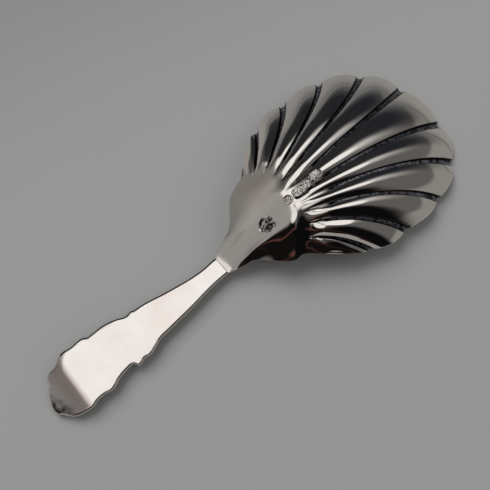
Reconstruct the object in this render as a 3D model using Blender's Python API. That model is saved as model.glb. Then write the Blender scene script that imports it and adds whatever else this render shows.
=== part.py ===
"""Silver caddy spoon with a fluted shell bowl, lying face down with the backs of bowl and handle up.

+X runs along the spoon from the handle's tip to the bowl's nose, +Y across it and +Z up from the table.
The spoon rests on the tip of its handle and on the rim of its bowl, so the table is the plane z = 0.
"""

import math

import bmesh
import bpy
import numpy as np

MM = 0.001

# Handle: a rolled strip, flat on its back, with its tip bent down to the table
HANDLE_LENGTH = 37.2 * MM
HANDLE_THICKNESS = 1.5 * MM
HANDLE_EDGE_RADIUS = 0.25 * MM
TIP_LENGTH = 6.2 * MM
TIP_BEND_RADIUS = 6.0 * MM
TIP_BEND_ANGLE = math.radians(11.5)

# Edges of the handle from the neck outwards, each point as its distance from the neck or the tip and
# its distance from the spoon's axis
NECK_FRONT_EDGE = ((0.0, 2.10), (3.7, 2.25), (9.2, 2.95))
NECK_BACK_EDGE = ((0.0, 1.50), (3.6, 1.35), (9.7, 2.14))
TIP_FRONT_EDGE = (
    (23.2, 3.38), (20.8, 3.65), (19.2, 4.26), (17.9, 4.65), (17.1, 4.46),
    (15.5, 4.83), (14.8, 4.02), (13.7, 4.02), (11.8, 4.38), (9.65, 5.18), (8.3, 4.93), (6.55, 5.04),
    (5.8, 5.32), (4.0, 5.10), (2.3, 4.51), (1.2, 3.38), (0.75, 2.80), (0.1, 2.20),
)
TIP_BACK_EDGE = (
    (21.8, 3.22), (20.5, 3.32), (19.8, 3.55), (18.75, 3.40), (17.0, 4.09),
    (14.8, 4.63), (12.1, 4.67), (11.6, 4.68), (10.7, 5.16), (8.3, 5.14), (6.5, 5.35), (5.5, 4.93),
    (4.4, 4.21), (3.0, 4.04), (2.1, 3.31), (1.72, 2.13), (1.2, 1.70), (0.25, -0.20),
)

# Lap joint at the neck: the bowl's tongue lies in a rebate under the handle, with solder between them
SEAM_X = -7.6 * MM
TONGUE_LENGTH = 4.5 * MM
TONGUE_WIDTH = 3.3 * MM
TONGUE_THICKNESS = 0.6 * MM
TONGUE_ROOT = 0.3 * MM
SOLDER_FILM = 0.12 * MM
SOLDER_CLEARANCE = 0.02 * MM

# Bowl: sheet pressed into a shell, with its rim trimmed to a superellipse in plan
SHEET_THICKNESS = 0.9 * MM
RIM_CENTRE_X = 24.0 * MM
RIM_HALF_LENGTH = 20.17 * MM
RIM_HALF_WIDTH = 16.86 * MM
RIM_FRONT_POWER = 2.33
RIM_BACK_POWER = 2.38
RIM_FRONT_HEIGHT = 0.60 * MM
RIM_SLOPE = 0.112
RIM_SIDE_LIFT = 0.28 * MM
DOME_HEIGHT = 8.12 * MM
DOME_FALL_POWER = 1.62
DOME_FALL_SIDE = 0.11
DOME_ROOT_SHARE = 0.75
DOME_RISE_END = 0.463
DOME_ROOT_FLATNESS = 2.84
DOME_RIM_FLATNESS = 2.53
DOME_FLATNESS_END = 0.63
DOME_SIDE_START = 0.84

# Flutes, from the middle one outwards: the angle at the rim that each takes
FLUTE_COUNT = 11
FLUTE_RIM_ANGLES = (29.4, 30.4, 28.1, 20.7, 22.3, 10.8)
FLUTE_BOW_ALONG = 0.719
FLUTE_BOW_MIDDLE = 0.445
FLUTE_BOW_SIDE = 0.648
FLUTE_CROWN = 0.44 * MM
FLUTE_CROWN_POWER = 1.8
OPEN_SIDE_FALL = 0.2
FLUTE_GROWTH = 0.29
SCALLOP_DEPTH = 0.8 * MM
SCALLOP_POWER = 2.2
SIDE_FLUTE_CUT = 0.2
GROOVE_RIM_WIDTH = 1.5 * MM
GROOVE_ROOT_WIDTH = 0.4 * MM
GROOVE_DEPTH = 0.40 * MM

# Heel: the smooth ramp from the neck to the roots of the flutes
ROOT_X = 7.4 * MM
ROOT_SETBACK = 3.25 * MM
ROOT_HALF_WIDTH = 8.69 * MM
WAIST_X = -4.1 * MM
WAIST_HALF_WIDTH = 3.1 * MM
EAR_X = 2.8 * MM
HEEL_ROUNDING = 1.0 * MM
HEEL_SHOULDER_ROUNDING = 6.5 * MM
HEEL_TOP_NECK_HALF = 0.5 * MM
HEEL_TOP_ROOT_HALF = 2.7 * MM
HEEL_FLANK_LEAST = 0.3 * MM
HEEL_FLANK_SOFTNESS = 0.8
HEEL_TO_DOME = 0.55
HEEL_EDGE_RISE = 1.1 * MM
HEEL_EDGE_RISE_POWER = 1.1
NECK_BLEND = 0.35

# The sheet's wall keeps one direction in the outermost part of the corners, where the dome flattens out
CORNER_ACROSS = 0.9
CORNER_ALONG = 0.9

# Grid of the sheet
COLUMNS_PER_FLUTE = 6
HEEL_ROWS = 9
FLUTE_ROWS = 13
STEP = 1e-4

COLLECTION_NAME = "caddy_spoon"
CUTTER_COLLECTION_NAME = "caddy_spoon_cutters"


def smooth(value):
    """Ease from 0 to 1 with level ends."""
    value = np.clip(value, 0.0, 1.0)
    return value * value * (3.0 - 2.0 * value)


def tip_drop(beyond):
    """How far the handle's tip has fallen at a distance beyond the start of its bend."""
    bend_length = TIP_BEND_RADIUS * math.sin(TIP_BEND_ANGLE)
    in_bend = np.clip(beyond, 0.0, bend_length)
    fall = TIP_BEND_RADIUS - np.sqrt(TIP_BEND_RADIUS**2 - in_bend**2)
    return fall + np.maximum(beyond - bend_length, 0.0) * math.tan(TIP_BEND_ANGLE)


TIP_X = SEAM_X - HANDLE_LENGTH
HANDLE_TOP = HANDLE_THICKNESS + float(tip_drop(TIP_LENGTH))
HANDLE_BOTTOM = HANDLE_TOP - HANDLE_THICKNESS
NECK_CENTRE_Y = (NECK_BACK_EDGE[0][1] - NECK_FRONT_EDGE[0][1]) / 2 * MM
NECK_HALF_WIDTH = (NECK_BACK_EDGE[0][1] + NECK_FRONT_EDGE[0][1]) / 2 * MM
NOTCH_X = ROOT_X - ROOT_SETBACK
RIM_FRONT_X = RIM_CENTRE_X + RIM_HALF_LENGTH
TONGUE_TOP = HANDLE_BOTTOM + TONGUE_THICKNESS


def rim_plan(across):
    """Plan of the trimmed rim, at the groove ends; across runs from -1 to 1."""
    steps = np.array(FLUTE_RIM_ANGLES)
    turned = steps[0] / 2 + np.concatenate(([0.0], np.cumsum(steps[1:])))
    stations = np.append(np.arange(1, FLUTE_COUNT - 1, 2) / FLUTE_COUNT, 1.0)
    places = np.concatenate((-stations[::-1], stations))
    degrees = np.interp(across, places, np.concatenate((-turned[::-1], turned)))
    cosine = np.cos(np.radians(degrees))
    sine = np.sin(np.radians(degrees))
    power = 2.0 / np.where(cosine > 0, RIM_FRONT_POWER, RIM_BACK_POWER)
    x = RIM_CENTRE_X + RIM_HALF_LENGTH * np.sign(cosine) * np.abs(cosine) ** power
    return x, RIM_HALF_WIDTH * np.sign(sine) * np.abs(sine) ** power


def rim_height(x, y):
    """Height of the sloping surface that the rim lies in; its sides lie a little higher."""
    return RIM_FRONT_HEIGHT + RIM_SLOPE * (RIM_FRONT_X - x) + RIM_SIDE_LIFT * (y / RIM_HALF_WIDTH) ** 2


def fluted_dome(across, along):
    """Smooth dome under the flutes, straight at its sides; along is 0 at their roots and 1 at the rim."""
    root_x = ROOT_X - ROOT_SETBACK * across**4
    root_y = ROOT_HALF_WIDTH * across
    end_x, end_y = rim_plan(across)
    bow = FLUTE_BOW_MIDDLE + (FLUTE_BOW_SIDE - FLUTE_BOW_MIDDLE) * across**2
    turn_x = root_x + (end_x - root_x) * FLUTE_BOW_ALONG
    turn_y = root_y + (end_y - root_y) * bow
    back = 1.0 - along
    x = root_x * back**2 + 2.0 * turn_x * along * back + end_x * along**2
    y = root_y * back**2 + 2.0 * turn_y * along * back + end_y * along**2
    flatness = DOME_ROOT_FLATNESS + (DOME_RIM_FLATNESS - DOME_ROOT_FLATNESS) * np.clip(
        along / DOME_FLATNESS_END, 0.0, 1.0
    )
    curved = np.minimum(np.abs(across), DOME_SIDE_START)
    straight = np.maximum(np.abs(across) - DOME_SIDE_START, 0.0)
    arch = 1.0 - curved**flatness - straight * flatness * DOME_SIDE_START ** (flatness - 1.0)
    rise = np.sin(0.5 * np.pi * np.clip(along / DOME_RISE_END, 0.0, 1.0))
    fall = 1.0 - np.maximum(along, 0.0) ** (DOME_FALL_POWER + DOME_FALL_SIDE * across**2)
    height = DOME_HEIGHT * arch * fall * (DOME_ROOT_SHARE + (1.0 - DOME_ROOT_SHARE) * rise)
    return np.stack((x, y, rim_height(x, y) + height), axis=-1)


def heel_ramp(across, along):
    """Smooth heel; along is 0 at the neck seam and 1 at the roots of the flutes."""
    root_x = ROOT_X - ROOT_SETBACK * across**4
    x = SEAM_X + (root_x - SEAM_X) * along
    edge_x = SEAM_X + (NOTCH_X - SEAM_X) * along
    taper = np.clip((edge_x - SEAM_X) / (WAIST_X - SEAM_X), 0.0, 1.0)
    flare = smooth((edge_x - WAIST_X) / (EAR_X - WAIST_X))
    half = NECK_HALF_WIDTH + (WAIST_HALF_WIDTH - NECK_HALF_WIDTH) * taper
    half = half + (ROOT_HALF_WIDTH - WAIST_HALF_WIDTH) * flare
    y = across * half + NECK_CENTRE_Y * (1.0 - smooth(along))
    root_top, root_edge = fluted_dome(np.array((0.0, 1.0)), 0.0)[:, 2]
    rounding = HEEL_ROUNDING + HEEL_SHOULDER_ROUNDING * across**2
    slope = (root_top - HANDLE_TOP) / (ROOT_X - SEAM_X - rounding / 2)
    reach = along * (ROOT_X - SEAM_X)
    into_round = np.clip(reach - (ROOT_X - SEAM_X - rounding), 0.0, rounding)
    top = HANDLE_TOP + slope * (reach - into_round**2 / (2.0 * rounding))
    rise = HEEL_EDGE_RISE * np.sin(np.pi * along**HEEL_EDGE_RISE_POWER)
    edge = HANDLE_TOP + (root_edge - HANDLE_TOP) * along + rise
    flat = HEEL_TOP_NECK_HALF + (HEEL_TOP_ROOT_HALF - HEEL_TOP_NECK_HALF) * along
    flat = np.minimum(flat, half - HEEL_FLANK_LEAST)
    out = np.maximum(np.abs(across) * half - flat, 0.0) / (half - flat)
    flank = (np.hypot(out, HEEL_FLANK_SOFTNESS) - HEEL_FLANK_SOFTNESS) / (
        math.hypot(1.0, HEEL_FLANK_SOFTNESS) - HEEL_FLANK_SOFTNESS
    )
    section = 1.0 - flank
    arch = (fluted_dome(across, 0.0)[..., 2] - root_edge) / (root_top - root_edge)
    section = section + (arch - section) * smooth((along - HEEL_TO_DOME) / (1.0 - HEEL_TO_DOME))
    return np.stack((x, y, edge + (top - edge) * section), axis=-1)


def smooth_shell(across, along):
    """Bowl without its flutes: the heel from along = -1 to 0, the fluted part from 0 to just past 1."""
    heel = heel_ramp(across, np.clip(along + 1.0, 0.0, 1.0))
    dome = fluted_dome(across, np.maximum(along, 0.0))
    return np.where((along < 0.0)[..., None], heel, dome)


def shell_normal(across, along):
    """Outward unit directions of the sheet's wall."""
    across = np.clip(across, -CORNER_ACROSS, CORNER_ACROSS)
    along = np.minimum(along, CORNER_ALONG)
    sideways = smooth_shell(across + STEP, along) - smooth_shell(across - STEP, along)
    lengthways = smooth_shell(across, along + STEP) - smooth_shell(across, np.maximum(along - STEP, -1.0))
    normal = np.cross(lengthways, sideways)
    return normal / np.linalg.norm(normal, axis=-1, keepdims=True)


def flute_width(flute, along):
    """Width of a flute between its grooves."""
    left = fluted_dome(-1.0 + 2.0 * flute / FLUTE_COUNT, along)
    right = fluted_dome(-1.0 + 2.0 * (flute + 1) / FLUTE_COUNT, along)
    return np.linalg.norm(right - left, axis=-1)


def shell_points(column, row):
    """Outer and inner points of the sheet for whole-number places in its grid."""
    along = np.where(row < HEEL_ROWS, row / HEEL_ROWS - 1.0, (row - HEEL_ROWS) / FLUTE_ROWS)
    flute = np.minimum(column // COLUMNS_PER_FLUTE, FLUTE_COUNT - 1)
    place = column - flute * COLUMNS_PER_FLUTE
    fluted = np.maximum(along, 0.0)
    groove = GROOVE_ROOT_WIDTH + (GROOVE_RIM_WIDTH - GROOVE_ROOT_WIDTH) * fluted
    half_groove = groove / 2 / flute_width(flute, fluted)
    between = (place - 1) / (COLUMNS_PER_FLUTE - 2)
    phase = half_groove + (1.0 - 2.0 * half_groove) * between
    in_groove = (place == 0) | (place == COLUMNS_PER_FLUTE)
    phase = np.where(in_groove, place / COLUMNS_PER_FLUTE, phase)
    across = -1.0 + 2.0 * (flute + phase) / FLUTE_COUNT

    swing = np.abs(2.0 * phase - 1.0)
    length = np.linalg.norm(fluted_dome(across, 1.0) - fluted_dome(across, 0.0), axis=-1)
    scallop = SCALLOP_DEPTH / length * (1.0 - swing**SCALLOP_POWER)
    side = smooth((np.abs(across) * FLUTE_COUNT - FLUTE_COUNT + 2) / 2)
    reach = np.where(along > 0.0, along * (1.0 + scallop - SIDE_FLUTE_CUT * side), along)
    normal = shell_normal(across, reach)
    growth = smooth(fluted / FLUTE_GROWTH)
    off_crest = np.minimum(swing / (1.0 - 2.0 * half_groove), 1.0)
    open_side = np.abs(across) > 1.0 - 1.0 / FLUTE_COUNT
    off_crest = np.where(open_side, OPEN_SIDE_FALL * off_crest, off_crest)
    crest = FLUTE_CROWN * (1.0 - off_crest**FLUTE_CROWN_POWER)
    open_edge = (column == 0) | (column == COLUMNS_PER_FLUTE * FLUTE_COUNT)
    sunk = np.where(in_groove & ~open_edge, GROOVE_DEPTH, 0.0)
    outer = smooth_shell(across, reach) + normal * (growth * (crest - sunk))[..., None]

    from_neck = np.clip((along + 1.0) / NECK_BLEND, 0.0, 1.0)
    wall = HANDLE_THICKNESS + (SHEET_THICKNESS - HANDLE_THICKNESS) * smooth(from_neck)
    upright = np.array((0.0, 0.0, 1.0))
    inward = upright + (normal - upright) * smooth(from_neck)[..., None]
    inward = inward / np.linalg.norm(inward, axis=-1, keepdims=True)
    inner = outer - inward * wall[..., None]
    inner[..., 2] = np.maximum(inner[..., 2], 0.0)
    return outer, inner


def add_object(name, mesh, material, collection):
    """New object in a collection, with its material."""
    mesh.materials.append(material)
    item = bpy.data.objects.new(name, mesh)
    collection.objects.link(item)
    return item


def make_material(name, colour, roughness):
    """Metal with a colour and a polish."""
    material = bpy.data.materials.new(name)
    material.use_nodes = True
    shader = material.node_tree.nodes["Principled BSDF"]
    shader.inputs["Base Color"].default_value = (*colour, 1.0)
    shader.inputs["Metallic"].default_value = 1.0
    shader.inputs["Roughness"].default_value = roughness
    return material


def make_cutter(name, low, high, collection):
    """Box between two corners, for a Boolean."""
    bpy.ops.mesh.primitive_cube_add(size=1.0, location=[(a + b) / 2 for a, b in zip(low, high)])
    box = bpy.context.active_object
    box.name = name
    for vertex in box.data.vertices:
        vertex.co = [part * (b - a) for part, a, b in zip(vertex.co, low, high)]
    for owner in list(box.users_collection):
        owner.objects.unlink(box)
    collection.objects.link(box)
    box.hide_render = True
    box.display_type = "WIRE"
    return box


def use_boolean(item, operation, other):
    """Boolean modifier that joins or cuts another object."""
    modifier = item.modifiers.new(operation.lower(), "BOOLEAN")
    modifier.operation = operation
    modifier.object = other


def make_bowl(material, parts, cutters):
    """Fluted sheet bowl with its heel and neck tongue."""
    columns = COLUMNS_PER_FLUTE * FLUTE_COUNT
    rows = HEEL_ROWS + FLUTE_ROWS
    grid = bmesh.new()
    bmesh.ops.create_grid(grid, x_segments=columns, y_segments=rows, size=1.0)
    sheet = list(grid.verts)
    wall = bmesh.ops.extrude_face_region(grid, geom=list(grid.faces))["geom"]
    lining = [piece for piece in wall if isinstance(piece, bmesh.types.BMVert)]
    for vertices, side in ((sheet, 0), (lining, 1)):
        places = np.array([vertex.co for vertex in vertices])
        column = np.rint((places[:, 0] + 1.0) / 2.0 * columns).astype(int)
        row = np.rint((places[:, 1] + 1.0) / 2.0 * rows).astype(int)
        for vertex, point in zip(vertices, shell_points(column, row)[side]):
            vertex.co = point
    bmesh.ops.recalc_face_normals(grid, faces=list(grid.faces))
    mesh = bpy.data.meshes.new("shell_bowl")
    grid.to_mesh(mesh)
    grid.free()
    mesh.shade_smooth()
    mesh.set_sharp_from_angle(angle=math.radians(40))
    bowl = add_object("shell_bowl", mesh, material, parts)
    tongue = make_cutter(
        "tongue",
        (SEAM_X - TONGUE_LENGTH, NECK_CENTRE_Y - TONGUE_WIDTH / 2, HANDLE_BOTTOM),
        (SEAM_X + TONGUE_ROOT, NECK_CENTRE_Y + TONGUE_WIDTH / 2, TONGUE_TOP),
        cutters,
    )
    use_boolean(bowl, "UNION", tongue)
    return bowl


def outline_curve(name, points, rounded, half_thickness, parts):
    """Flat closed outline, extruded to both sides of its plane."""
    curve = bpy.data.curves.new(name, "CURVE")
    curve.dimensions = "2D"
    curve.fill_mode = "BOTH"
    curve.extrude = half_thickness
    curve.resolution_u = 3
    spline = curve.splines.new("BEZIER" if rounded else "POLY")
    target = spline.bezier_points if rounded else spline.points
    target.add(len(points) - 1)
    for point, (x, y) in zip(target, points):
        if rounded:
            point.co = (x, y, 0.0)
            point.handle_left_type = "AUTO"
            point.handle_right_type = "AUTO"
        else:
            point.co = (x, y, 0.0, 1.0)
    spline.use_cyclic_u = True
    item = bpy.data.objects.new(name, curve)
    parts.objects.link(item)
    return item


def as_mesh(item, material, parts):
    """Mesh object in place of a curve object, with its caps welded on."""
    bpy.context.view_layer.update()
    name = item.name
    placed = item.matrix_world.copy()
    mesh = bpy.data.meshes.new_from_object(item.evaluated_get(bpy.context.evaluated_depsgraph_get()))
    bpy.data.objects.remove(item)
    welded = bmesh.new()
    welded.from_mesh(mesh)
    bmesh.ops.remove_doubles(welded, verts=list(welded.verts), dist=1e-7)
    welded.to_mesh(mesh)
    welded.free()
    mesh.name = name
    made = add_object(name, mesh, material, parts)
    made.matrix_world = placed
    return made


def make_handle(material, parts, cutters):
    """Strip handle with its shaped outline, rounded edges, bent tip and rebate for the tongue."""
    end_x = SEAM_X - SOLDER_FILM
    front = [(end_x - along * MM, -out * MM) for along, out in NECK_FRONT_EDGE]
    front += [(TIP_X + along * MM, -out * MM) for along, out in TIP_FRONT_EDGE]
    back = [(end_x - along * MM, out * MM) for along, out in NECK_BACK_EDGE]
    back += [(TIP_X + along * MM, out * MM) for along, out in TIP_BACK_EDGE]
    outline = [*front, *reversed(back)]
    strip = outline_curve("handle", outline, True, HANDLE_THICKNESS / 2, parts)
    neck_points = strip.data.splines[0].bezier_points
    for point in (neck_points[0], neck_points[-1]):
        point.handle_left_type = "VECTOR"
        point.handle_right_type = "VECTOR"
    handle = as_mesh(strip, material, parts)
    bend_x = TIP_X + TIP_LENGTH
    bent = bmesh.new()
    bent.from_mesh(handle.data)
    rims = [edge for edge in bent.edges if len(edge.link_faces) == 2 and edge.calc_face_angle() > 1.2]
    rims = [edge for edge in rims if abs(edge.verts[0].co.z - edge.verts[1].co.z) < HANDLE_THICKNESS / 4]
    bmesh.ops.bevel(bent, geom=rims, offset=HANDLE_EDGE_RADIUS, segments=2, profile=0.5, affect="EDGES")
    bend_length = TIP_BEND_RADIUS * math.sin(TIP_BEND_ANGLE)
    for station in np.linspace(0.0, bend_length, 5):
        everything = list(bent.verts) + list(bent.edges) + list(bent.faces)
        bmesh.ops.bisect_plane(bent, geom=everything, plane_co=(bend_x - station, 0, 0), plane_no=(1, 0, 0))
    for vertex in bent.verts:
        vertex.co.z += HANDLE_TOP - HANDLE_THICKNESS / 2 - float(tip_drop(bend_x - vertex.co.x))
    bmesh.ops.recalc_face_normals(bent, faces=list(bent.faces))
    bent.to_mesh(handle.data)
    bent.free()
    rebate = make_cutter(
        "rebate",
        (SEAM_X - TONGUE_LENGTH - SOLDER_FILM, -HANDLE_LENGTH, HANDLE_BOTTOM - HANDLE_THICKNESS),
        (SEAM_X + HANDLE_THICKNESS, HANDLE_LENGTH, TONGUE_TOP + SOLDER_FILM),
        cutters,
    )
    use_boolean(handle, "DIFFERENCE", rebate)
    handle.data.shade_smooth()
    handle.data.set_sharp_from_angle(angle=math.radians(30))
    return handle


def make_solder(material, parts):
    """Film of solder round the tongue's end, over its top and up the face of the seam."""
    low_x = SEAM_X - TONGUE_LENGTH - SOLDER_FILM + SOLDER_CLEARANCE
    tongue_x = SEAM_X - TONGUE_LENGTH - SOLDER_CLEARANCE
    face_x = SEAM_X - SOLDER_CLEARANCE
    end_x = SEAM_X - SOLDER_FILM + SOLDER_CLEARANCE
    under = TONGUE_TOP + SOLDER_CLEARANCE
    over = TONGUE_TOP + SOLDER_FILM - SOLDER_CLEARANCE
    section = (
        (low_x, HANDLE_BOTTOM), (tongue_x, HANDLE_BOTTOM), (tongue_x, under), (face_x, under),
        (face_x, HANDLE_TOP), (end_x, HANDLE_TOP), (end_x, over), (low_x, over),
    )
    film = outline_curve("solder_seam", section, False, TONGUE_WIDTH / 2, parts)
    film.rotation_euler = (math.pi / 2, 0.0, 0.0)
    film.location = (0.0, NECK_CENTRE_Y, 0.0)
    return as_mesh(film, material, parts)


def main():
    """Build the spoon from an empty scene."""
    for item in list(bpy.data.objects):
        bpy.data.objects.remove(item)
    parts = bpy.data.collections.new(COLLECTION_NAME)
    cutters = bpy.data.collections.new(CUTTER_COLLECTION_NAME)
    bpy.context.scene.collection.children.link(parts)
    bpy.context.scene.collection.children.link(cutters)
    make_bowl(make_material("polished_silver", (0.90, 0.89, 0.87), 0.08), parts, cutters)
    make_handle(make_material("satin_silver", (0.90, 0.89, 0.87), 0.22), parts, cutters)
    make_solder(make_material("silver_solder", (0.78, 0.77, 0.73), 0.30), parts)


main()
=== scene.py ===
"""Looks of the silver caddy spoon: fluted shell bowl, flat satin handle and the soldered seam at the neck.

The spoon lies face down on a plain pale table. +X runs along it from the handle's tip to the bowl's nose, +Y
across it and +Z up, as in the CAD frame; every length is in metres.
"""

import logging
import math
from dataclasses import dataclass
from enum import Enum

import bpy
import numpy as np
from mathutils import Matrix, Vector


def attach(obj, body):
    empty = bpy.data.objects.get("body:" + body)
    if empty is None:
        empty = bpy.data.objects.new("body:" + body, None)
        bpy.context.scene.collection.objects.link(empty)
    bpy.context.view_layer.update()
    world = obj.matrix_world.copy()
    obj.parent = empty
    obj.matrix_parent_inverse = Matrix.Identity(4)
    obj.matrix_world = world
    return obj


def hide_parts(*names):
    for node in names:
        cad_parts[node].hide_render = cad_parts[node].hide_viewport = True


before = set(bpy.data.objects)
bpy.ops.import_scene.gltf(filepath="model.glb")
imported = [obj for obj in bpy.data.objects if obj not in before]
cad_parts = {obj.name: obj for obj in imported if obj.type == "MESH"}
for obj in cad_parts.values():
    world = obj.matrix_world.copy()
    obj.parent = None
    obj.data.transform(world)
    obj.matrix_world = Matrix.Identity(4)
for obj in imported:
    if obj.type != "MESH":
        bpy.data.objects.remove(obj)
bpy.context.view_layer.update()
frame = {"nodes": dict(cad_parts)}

LOG = logging.getLogger("caddy_spoon")
MM = 0.001

Tree = bpy.types.NodeTree
Socket = bpy.types.NodeSocket
Piece = bpy.types.Object
Pair = tuple[float, float]
Triple = tuple[float, float, float]


def linear(colour: str) -> tuple[float, float, float, float]:
    """Linear colour of an sRGB hex value.

    Args:
        colour: The colour as "#RRGGBB".

    Returns:
        Red, green, blue and a full alpha.
    """
    parts = [int(colour[place : place + 2], 16) / 255 for place in (1, 3, 5)]
    red, green, blue = (c / 12.92 if c <= 0.04045 else ((c + 0.055) / 1.055) ** 2.4 for c in parts)
    return red, green, blue, 1.0


def add_node(
    tree: Tree, kind: str, sockets: dict[str | int, object] | None = None, **settings: object
) -> bpy.types.Node:
    """Add a node with its settings, socket values and links.

    Args:
        tree: The node tree that takes the node.
        kind: The node's type name.
        sockets: Per input, by name or place: an output to link or a value to set.
        **settings: Properties of the node itself.

    Returns:
        The new node.
    """
    node = tree.nodes.new(kind)
    for name, value in settings.items():
        setattr(node, name, value)
    for name, value in (sockets or {}).items():
        if isinstance(value, Socket):
            tree.links.new(value, node.inputs[name])
        else:
            node.inputs[name].default_value = value
    return node


def start_material(name: str) -> tuple[bpy.types.Material, Tree, Socket]:
    """Start a procedural material.

    Args:
        name: The material's name.

    Returns:
        The material, its empty node tree and the output that gives the place on the piece.
    """
    material = bpy.data.materials.new(name)
    material.use_nodes = True
    tree = material.node_tree
    tree.nodes.clear()
    return material, tree, add_node(tree, "ShaderNodeTexCoord").outputs["Object"]


def end_metal(tree: Tree, base: Socket, roughness: Socket | float, normal: Socket) -> None:
    """End a material as a metal.

    Args:
        tree: The material's node tree.
        base: Its colour.
        roughness: How much it blurs what it mirrors.
        normal: Its fine relief.
    """
    sockets = {"Base Color": base, "Roughness": roughness, "Normal": normal, "Metallic": 1.0}
    shader = add_node(tree, "ShaderNodeBsdfPrincipled", sockets)
    add_node(tree, "ShaderNodeOutputMaterial", {"Surface": shader.outputs["BSDF"]})


def noise(
    tree: Tree, place: Socket, size: float, detail: float = 2.0, roughness: float = 0.5
) -> Socket:
    """Add soft noise to a material.

    Args:
        tree: The node tree that takes it.
        place: Output that gives the place.
        size: Size of the largest grains.
        detail: Number of finer layers.
        roughness: Strength of each finer layer beside the one before it.

    Returns:
        The noise, from 0 to 1.
    """
    sockets = {"Vector": place, "Scale": 1 / size, "Detail": detail, "Roughness": roughness}
    return add_node(tree, "ShaderNodeTexNoise", sockets).outputs["Fac"]


def remap(
    tree: Tree, value: Socket, span: Pair, to: Pair = (0.0, 1.0), easing: str = "LINEAR"
) -> Socket:
    """Map one span of values to another and hold its ends.

    Args:
        tree: The node tree that takes the map.
        value: The value to map.
        span: Its values at the two ends.
        to: What they become.
        easing: How it runs between the ends.

    Returns:
        The mapped value.
    """
    sockets = {"Value": value, 1: span[0], 2: span[1], 3: to[0], 4: to[1]}
    return add_node(tree, "ShaderNodeMapRange", sockets, interpolation_type=easing).outputs["Result"]


def mix(tree: Tree, share: Socket, first: Socket | str, second: Socket | str) -> Socket:
    """Mix two colours.

    Args:
        tree: The node tree that takes the mix.
        share: Share of the second colour.
        first: A hex value or an output.
        second: The same.

    Returns:
        The mixed colour.
    """
    colours = [linear(colour) if isinstance(colour, str) else colour for colour in (first, second)]
    sockets = {"Factor": share, 6: colours[0], 7: colours[1]}
    return add_node(tree, "ShaderNodeMix", sockets, data_type="RGBA").outputs[2]


def colour_ramp(tree: Tree, value: Socket, places: Pair, colours: tuple[str, str]) -> Socket:
    """Run from one colour to another between two values.

    Args:
        tree: The material's node tree.
        value: The value that picks the colour.
        places: Its values at the two colours.
        colours: The two colours as hex values.

    Returns:
        The colour.
    """
    ramp = add_node(tree, "ShaderNodeValToRGB", {"Fac": value})
    for stop, place, colour in zip(ramp.color_ramp.elements, places, colours, strict=True):
        stop.position = place
        stop.color = linear(colour)
    return ramp.outputs["Color"]


def distance_along(tree: Tree, place: Socket, direction: Triple) -> Socket:
    """Distance of a place from the origin, measured along a direction."""
    sockets = {0: place, 1: direction}
    return add_node(tree, "ShaderNodeVectorMath", sockets, operation="DOT_PRODUCT").outputs["Value"]


def smooth(value: np.ndarray) -> np.ndarray:
    """Ease from 0 to 1 with level ends."""
    value = np.clip(value, 0.0, 1.0)
    return value * value * (3.0 - 2.0 * value)


def deselect_all() -> None:
    """Deselect every object, so that the next operator acts on its own piece alone."""
    if bpy.context.mode != "OBJECT":
        bpy.ops.object.mode_set(mode="OBJECT")
    bpy.ops.object.select_all(action="DESELECT")


def select_only(piece: Piece) -> None:
    """Select one piece and make it active."""
    deselect_all()
    piece.select_set(True)
    bpy.context.view_layer.objects.active = piece


def apply_modifier(piece: Piece, kind: str, **settings: object) -> None:
    """Add a modifier to a piece and apply it.

    Args:
        piece: The piece to change.
        kind: The modifier's type name.
        **settings: Properties of the modifier.
    """
    select_only(piece)
    modifier = piece.modifiers.new(kind.lower(), kind)
    for name, value in settings.items():
        setattr(modifier, name, value)
    bpy.ops.object.modifier_apply(modifier=modifier.name)


def bevel_edges(piece: Piece, chosen: np.ndarray, width: float, segments: int) -> None:
    """Round chosen edges of a piece in edit mode.

    Args:
        piece: The piece to change.
        chosen: One truth value per edge of its mesh.
        width: Width of the rounding.
        segments: Faces across the rounding.
    """
    select_only(piece)
    mesh = piece.data
    bpy.context.tool_settings.mesh_select_mode = (False, True, False)
    mesh.vertices.foreach_set("select", np.zeros(len(mesh.vertices), bool))
    mesh.polygons.foreach_set("select", np.zeros(len(mesh.polygons), bool))
    mesh.edges.foreach_set("select", chosen)
    bpy.ops.object.mode_set(mode="EDIT")
    bpy.ops.mesh.bevel(offset=width, segments=segments, affect="EDGES", clamp_overlap=True)
    bpy.ops.object.mode_set(mode="OBJECT")


def place_points(mesh: bpy.types.Mesh, points: np.ndarray) -> None:
    """Move every vertex of a mesh to its point."""
    mesh.vertices.foreach_set("co", np.ascontiguousarray(points, np.float32).ravel())
    mesh.update()


def read_points(mesh: bpy.types.Mesh) -> np.ndarray:
    """Places of a mesh's vertices, one row each."""
    points = np.empty(len(mesh.vertices) * 3, np.float32)
    mesh.vertices.foreach_get("co", points)
    return points.reshape(-1, 3).astype(float)


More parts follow.
